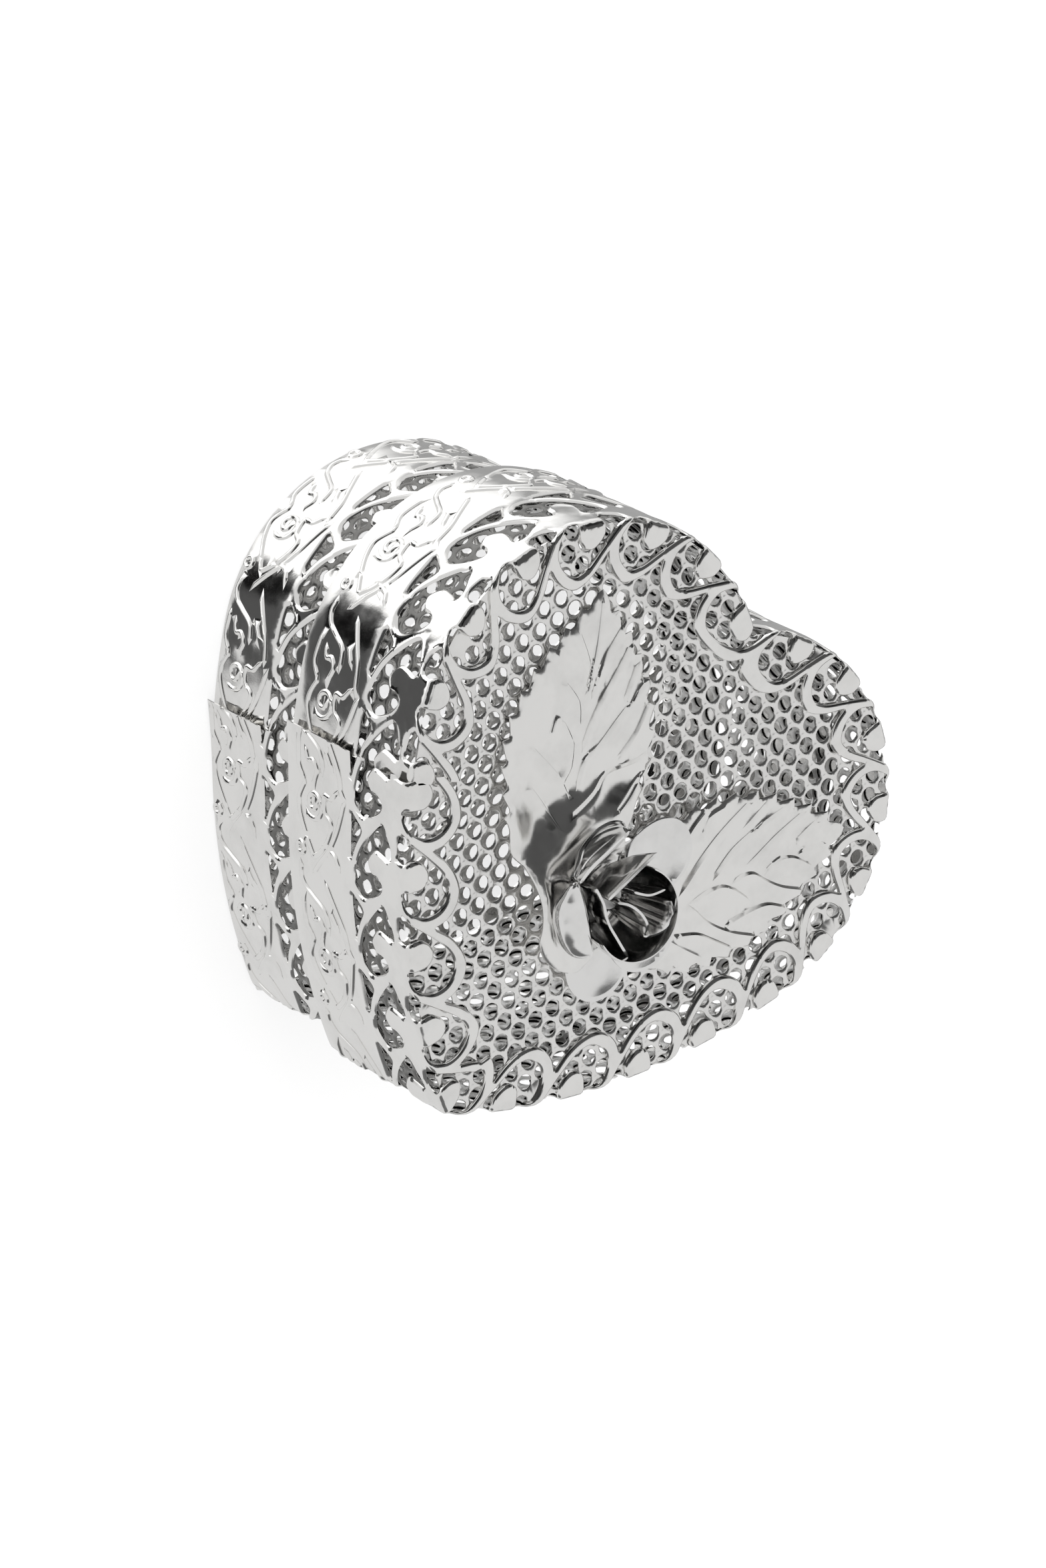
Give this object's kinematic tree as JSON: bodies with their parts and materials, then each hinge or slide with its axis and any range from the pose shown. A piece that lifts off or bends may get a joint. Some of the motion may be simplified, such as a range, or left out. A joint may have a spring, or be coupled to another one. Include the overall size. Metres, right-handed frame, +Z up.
{
  "type": "heart-shaped trinket box",
  "caption": "Heart-shaped lidded box of perforated and lace-pressed silvery metal, with two pressed leaves and a layered rose on its lift-off lid.",
  "frame": {"origin": "centre of the box's outline, on the plane that the base stands on", "axes": "+Z up, the way the lid lifts; -Y towards the point of the heart; +X to the right lobe"},
  "size_m": [0.068, 0.0634, 0.0455],
  "materials": {
    "perforated_sheet": "bright nickel plate over punched sheet, light handling marks",
    "lace_band": "polished nickel plate, pressed scrollwork",
    "leaf_foil": "satin-bright plated foil",
    "rose_foil": "polished plated foil",
    "fastener": "plain plated rivet steel"
  },
  "bodies": {
    "base": {"base_plate": "perforated_sheet", "base_liner": "perforated_sheet", "base_lace_band": "lace_band"},
    "lid": {"lid_plate": "perforated_sheet", "lid_liner": "perforated_sheet", "lid_lace_band": "lace_band", "leaf_left": "leaf_foil", "leaf_right": "leaf_foil", "rose_outer_petals": "rose_foil", "rose_middle_petals": "rose_foil", "rose_inner_petals": "rose_foil", "rose_bud": "rose_foil", "rose_rivet": "fastener", "rivet_washer": "fastener"}
  },
  "joints": [
    {"name": "lid_lift", "type": "slide", "parent": "base", "child": "lid", "axis": [0, 0, 1], "range_m": [0, 0.04]}
  ]
}
